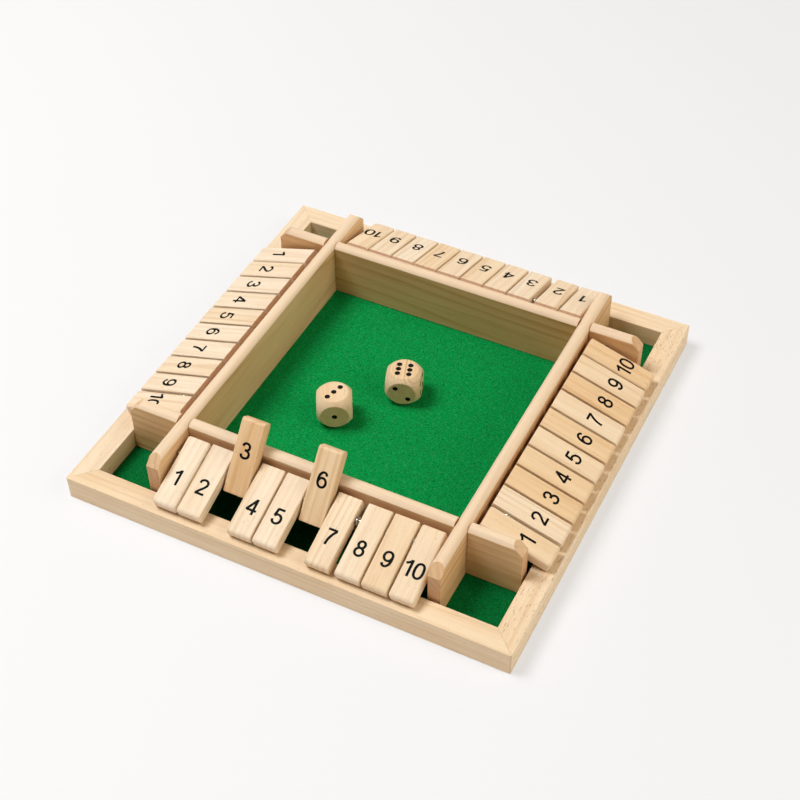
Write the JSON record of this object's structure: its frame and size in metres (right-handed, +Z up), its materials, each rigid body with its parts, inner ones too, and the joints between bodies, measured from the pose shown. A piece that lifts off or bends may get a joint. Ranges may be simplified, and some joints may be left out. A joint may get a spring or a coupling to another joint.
{
  "type": "shut the box game",
  "caption": "Square wooden tray game with a felt floor, four rows of numbered flip tiles on steel rods round a central dice tray, and loose dice.",
  "frame": {"origin": "on the ground under the middle of the tray", "axes": "+X along the front rail to the right, +Y from the front rail to the back, +Z up"},
  "size_m": [0.21, 0.21, 0.0432],
  "materials": {
    "pine_rails": "bare sanded pine, pale cream with fine grain",
    "pine_boards": "bare sanded pine",
    "pine_tiles": "bare sanded pine with printed black numbers 1 to 10",
    "pine_dice": "bare sanded wood with black pips",
    "plywood": "bare thin plywood",
    "green_felt": "green felt, glued flat",
    "steel": "bright drawn steel"
  },
  "bodies": {
    "tray": {"rail_front": "pine_rails", "rail_back": "pine_rails", "rail_left": "pine_rails", "rail_right": "pine_rails", "base_panel": "plywood", "felt_sheet": "green_felt", "side_board_left": "pine_boards", "side_board_right": "pine_boards", "cross_board_front": "pine_boards", "cross_board_back": "pine_boards", "rod_front": "steel", "rod_back": "steel", "rod_left": "steel", "rod_right": "steel"},
    "tile_front_01": {"tile_front_01": "pine_tiles"},
    "tile_front_02": {"tile_front_02": "pine_tiles"},
    "tile_front_03": {"tile_front_03": "pine_tiles"},
    "tile_front_04": {"tile_front_04": "pine_tiles"},
    "tile_front_05": {"tile_front_05": "pine_tiles"},
    "tile_front_06": {"tile_front_06": "pine_tiles"},
    "tile_front_07": {"tile_front_07": "pine_tiles"},
    "tile_front_08": {"tile_front_08": "pine_tiles"},
    "tile_front_09": {"tile_front_09": "pine_tiles"},
    "tile_front_10": {"tile_front_10": "pine_tiles"},
    "tile_right_01": {"tile_right_01": "pine_tiles"},
    "tile_right_02": {"tile_right_02": "pine_tiles"},
    "tile_right_03": {"tile_right_03": "pine_tiles"},
    "tile_right_04": {"tile_right_04": "pine_tiles"},
    "tile_right_05": {"tile_right_05": "pine_tiles"},
    "tile_right_06": {"tile_right_06": "pine_tiles"},
    "tile_right_07": {"tile_right_07": "pine_tiles"},
    "tile_right_08": {"tile_right_08": "pine_tiles"},
    "tile_right_09": {"tile_right_09": "pine_tiles"},
    "tile_right_10": {"tile_right_10": "pine_tiles"},
    "tile_back_01": {"tile_back_01": "pine_tiles"},
    "tile_back_02": {"tile_back_02": "pine_tiles"},
    "tile_back_03": {"tile_back_03": "pine_tiles"},
    "tile_back_04": {"tile_back_04": "pine_tiles"},
    "tile_back_05": {"tile_back_05": "pine_tiles"},
    "tile_back_06": {"tile_back_06": "pine_tiles"},
    "tile_back_07": {"tile_back_07": "pine_tiles"},
    "tile_back_08": {"tile_back_08": "pine_tiles"},
    "tile_back_09": {"tile_back_09": "pine_tiles"},
    "tile_back_10": {"tile_back_10": "pine_tiles"},
    "tile_left_01": {"tile_left_01": "pine_tiles"},
    "tile_left_02": {"tile_left_02": "pine_tiles"},
    "tile_left_03": {"tile_left_03": "pine_tiles"},
    "tile_left_04": {"tile_left_04": "pine_tiles"},
    "tile_left_05": {"tile_left_05": "pine_tiles"},
    "tile_left_06": {"tile_left_06": "pine_tiles"},
    "tile_left_07": {"tile_left_07": "pine_tiles"},
    "tile_left_08": {"tile_left_08": "pine_tiles"},
    "tile_left_09": {"tile_left_09": "pine_tiles"},
    "tile_left_10": {"tile_left_10": "pine_tiles"},
    "die_left": {"die_left": "pine_dice"},
    "die_right": {"die_right": "pine_dice"}
  },
  "joints": [
    {"name": "tile_front_01_flip", "type": "hinge", "parent": "tray", "child": "tile_front_01", "pos_m": [-0.0558, -0.07819, 0.0223], "axis": [-1, 0, 0], "range_deg": [0, 146.35]},
    {"name": "tile_front_02_flip", "type": "hinge", "parent": "tray", "child": "tile_front_02", "pos_m": [-0.0436, -0.07819, 0.0223], "axis": [-1, 0, 0], "range_deg": [0, 146.35]},
    {"name": "tile_front_03_flip", "type": "hinge", "parent": "tray", "child": "tile_front_03", "pos_m": [-0.0314, -0.07819, 0.0223], "axis": [-1, 0, 0], "range_deg": [-146.35, 0]},
    {"name": "tile_front_04_flip", "type": "hinge", "parent": "tray", "child": "tile_front_04", "pos_m": [-0.0192, -0.07819, 0.0223], "axis": [-1, 0, 0], "range_deg": [0, 146.35]},
    {"name": "tile_front_05_flip", "type": "hinge", "parent": "tray", "child": "tile_front_05", "pos_m": [-0.007, -0.07819, 0.0223], "axis": [-1, 0, 0], "range_deg": [0, 146.35]},
    {"name": "tile_front_06_flip", "type": "hinge", "parent": "tray", "child": "tile_front_06", "pos_m": [0.0052, -0.07819, 0.0223], "axis": [-1, 0, 0], "range_deg": [-146.35, 0]},
    {"name": "tile_front_07_flip", "type": "hinge", "parent": "tray", "child": "tile_front_07", "pos_m": [0.0174, -0.07819, 0.0223], "axis": [-1, 0, 0], "range_deg": [0, 146.35]},
    {"name": "tile_front_08_flip", "type": "hinge", "parent": "tray", "child": "tile_front_08", "pos_m": [0.0314, -0.07819, 0.0223], "axis": [-1, 0, 0], "range_deg": [0, 146.35]},
    {"name": "tile_front_09_flip", "type": "hinge", "parent": "tray", "child": "tile_front_09", "pos_m": [0.0436, -0.07819, 0.0223], "axis": [-1, 0, 0], "range_deg": [0, 146.35]},
    {"name": "tile_front_10_flip", "type": "hinge", "parent": "tray", "child": "tile_front_10", "pos_m": [0.0558, -0.07819, 0.0223], "axis": [-1, 0, 0], "range_deg": [0, 146.35]},
    {"name": "tile_right_01_flip", "type": "hinge", "parent": "tray", "child": "tile_right_01", "pos_m": [0.07819, -0.0558, 0.0223], "axis": [0, -1, 0], "range_deg": [0, 146.35]},
    {"name": "tile_right_02_flip", "type": "hinge", "parent": "tray", "child": "tile_right_02", "pos_m": [0.07819, -0.0434, 0.0223], "axis": [0, -1, 0], "range_deg": [0, 146.35]},
    {"name": "tile_right_03_flip", "type": "hinge", "parent": "tray", "child": "tile_right_03", "pos_m": [0.07819, -0.031, 0.0223], "axis": [0, -1, 0], "range_deg": [0, 146.35]},
    {"name": "tile_right_04_flip", "type": "hinge", "parent": "tray", "child": "tile_right_04", "pos_m": [0.07819, -0.0186, 0.0223], "axis": [0, -1, 0], "range_deg": [0, 146.35]},
    {"name": "tile_right_05_flip", "type": "hinge", "parent": "tray", "child": "tile_right_05", "pos_m": [0.07819, -0.0062, 0.0223], "axis": [0, -1, 0], "range_deg": [0, 146.35]},
    {"name": "tile_right_06_flip", "type": "hinge", "parent": "tray", "child": "tile_right_06", "pos_m": [0.07819, 0.0062, 0.0223], "axis": [0, -1, 0], "range_deg": [0, 146.35]},
    {"name": "tile_right_07_flip", "type": "hinge", "parent": "tray", "child": "tile_right_07", "pos_m": [0.07819, 0.0186, 0.0223], "axis": [0, -1, 0], "range_deg": [0, 146.35]},
    {"name": "tile_right_08_flip", "type": "hinge", "parent": "tray", "child": "tile_right_08", "pos_m": [0.07819, 0.031, 0.0223], "axis": [0, -1, 0], "range_deg": [0, 146.35]},
    {"name": "tile_right_09_flip", "type": "hinge", "parent": "tray", "child": "tile_right_09", "pos_m": [0.07819, 0.0434, 0.0223], "axis": [0, -1, 0], "range_deg": [0, 146.35]},
    {"name": "tile_right_10_flip", "type": "hinge", "parent": "tray", "child": "tile_right_10", "pos_m": [0.07819, 0.0558, 0.0223], "axis": [0, -1, 0], "range_deg": [0, 146.35]},
    {"name": "tile_back_01_flip", "type": "hinge", "parent": "tray", "child": "tile_back_01", "pos_m": [0.0558, 0.07819, 0.0223], "axis": [1, 0, 0], "range_deg": [0, 146.35]},
    {"name": "tile_back_02_flip", "type": "hinge", "parent": "tray", "child": "tile_back_02", "pos_m": [0.0436, 0.07819, 0.0223], "axis": [1, 0, 0], "range_deg": [0, 146.35]},
    {"name": "tile_back_03_flip", "type": "hinge", "parent": "tray", "child": "tile_back_03", "pos_m": [0.0296, 0.07819, 0.0223], "axis": [1, 0, 0], "range_deg": [0, 146.35]},
    {"name": "tile_back_04_flip", "type": "hinge", "parent": "tray", "child": "tile_back_04", "pos_m": [0.0174, 0.07819, 0.0223], "axis": [1, 0, 0], "range_deg": [0, 146.35]},
    {"name": "tile_back_05_flip", "type": "hinge", "parent": "tray", "child": "tile_back_05", "pos_m": [0.0052, 0.07819, 0.0223], "axis": [1, 0, 0], "range_deg": [0, 146.35]},
    {"name": "tile_back_06_flip", "type": "hinge", "parent": "tray", "child": "tile_back_06", "pos_m": [-0.007, 0.07819, 0.0223], "axis": [1, 0, 0], "range_deg": [0, 146.35]},
    {"name": "tile_back_07_flip", "type": "hinge", "parent": "tray", "child": "tile_back_07", "pos_m": [-0.0192, 0.07819, 0.0223], "axis": [1, 0, 0], "range_deg": [0, 146.35]},
    {"name": "tile_back_08_flip", "type": "hinge", "parent": "tray", "child": "tile_back_08", "pos_m": [-0.0314, 0.07819, 0.0223], "axis": [1, 0, 0], "range_deg": [0, 146.35]},
    {"name": "tile_back_09_flip", "type": "hinge", "parent": "tray", "child": "tile_back_09", "pos_m": [-0.0436, 0.07819, 0.0223], "axis": [1, 0, 0], "range_deg": [0, 146.35]},
    {"name": "tile_back_10_flip", "type": "hinge", "parent": "tray", "child": "tile_back_10", "pos_m": [-0.0558, 0.07819, 0.0223], "axis": [1, 0, 0], "range_deg": [0, 146.35]},
    {"name": "tile_left_01_flip", "type": "hinge", "parent": "tray", "child": "tile_left_01", "pos_m": [-0.07819, 0.0558, 0.0223], "axis": [0, 1, 0], "range_deg": [0, 146.35]},
    {"name": "tile_left_02_flip", "type": "hinge", "parent": "tray", "child": "tile_left_02", "pos_m": [-0.07819, 0.0434, 0.0223], "axis": [0, 1, 0], "range_deg": [0, 146.35]},
    {"name": "tile_left_03_flip", "type": "hinge", "parent": "tray", "child": "tile_left_03", "pos_m": [-0.07819, 0.031, 0.0223], "axis": [0, 1, 0], "range_deg": [0, 146.35]},
    {"name": "tile_left_04_flip", "type": "hinge", "parent": "tray", "child": "tile_left_04", "pos_m": [-0.07819, 0.0186, 0.0223], "axis": [0, 1, 0], "range_deg": [0, 146.35]},
    {"name": "tile_left_05_flip", "type": "hinge", "parent": "tray", "child": "tile_left_05", "pos_m": [-0.07819, 0.0062, 0.0223], "axis": [0, 1, 0], "range_deg": [0, 146.35]},
    {"name": "tile_left_06_flip", "type": "hinge", "parent": "tray", "child": "tile_left_06", "pos_m": [-0.07819, -0.0062, 0.0223], "axis": [0, 1, 0], "range_deg": [0, 146.35]},
    {"name": "tile_left_07_flip", "type": "hinge", "parent": "tray", "child": "tile_left_07", "pos_m": [-0.07819, -0.0186, 0.0223], "axis": [0, 1, 0], "range_deg": [0, 146.35]},
    {"name": "tile_left_08_flip", "type": "hinge", "parent": "tray", "child": "tile_left_08", "pos_m": [-0.07819, -0.031, 0.0223], "axis": [0, 1, 0], "range_deg": [0, 146.35]},
    {"name": "tile_left_09_flip", "type": "hinge", "parent": "tray", "child": "tile_left_09", "pos_m": [-0.07819, -0.0434, 0.0223], "axis": [0, 1, 0], "range_deg": [0, 146.35]},
    {"name": "tile_left_10_flip", "type": "hinge", "parent": "tray", "child": "tile_left_10", "pos_m": [-0.07819, -0.0558, 0.0223], "axis": [0, 1, 0], "range_deg": [0, 146.35]},
    {"name": "die_left_lift", "type": "slide", "parent": "tray", "child": "die_left", "axis": [0, 0, 1], "range_m": [0, 0.06]},
    {"name": "die_right_lift", "type": "slide", "parent": "tray", "child": "die_right", "axis": [0, 0, 1], "range_m": [0, 0.06]}
  ]
}
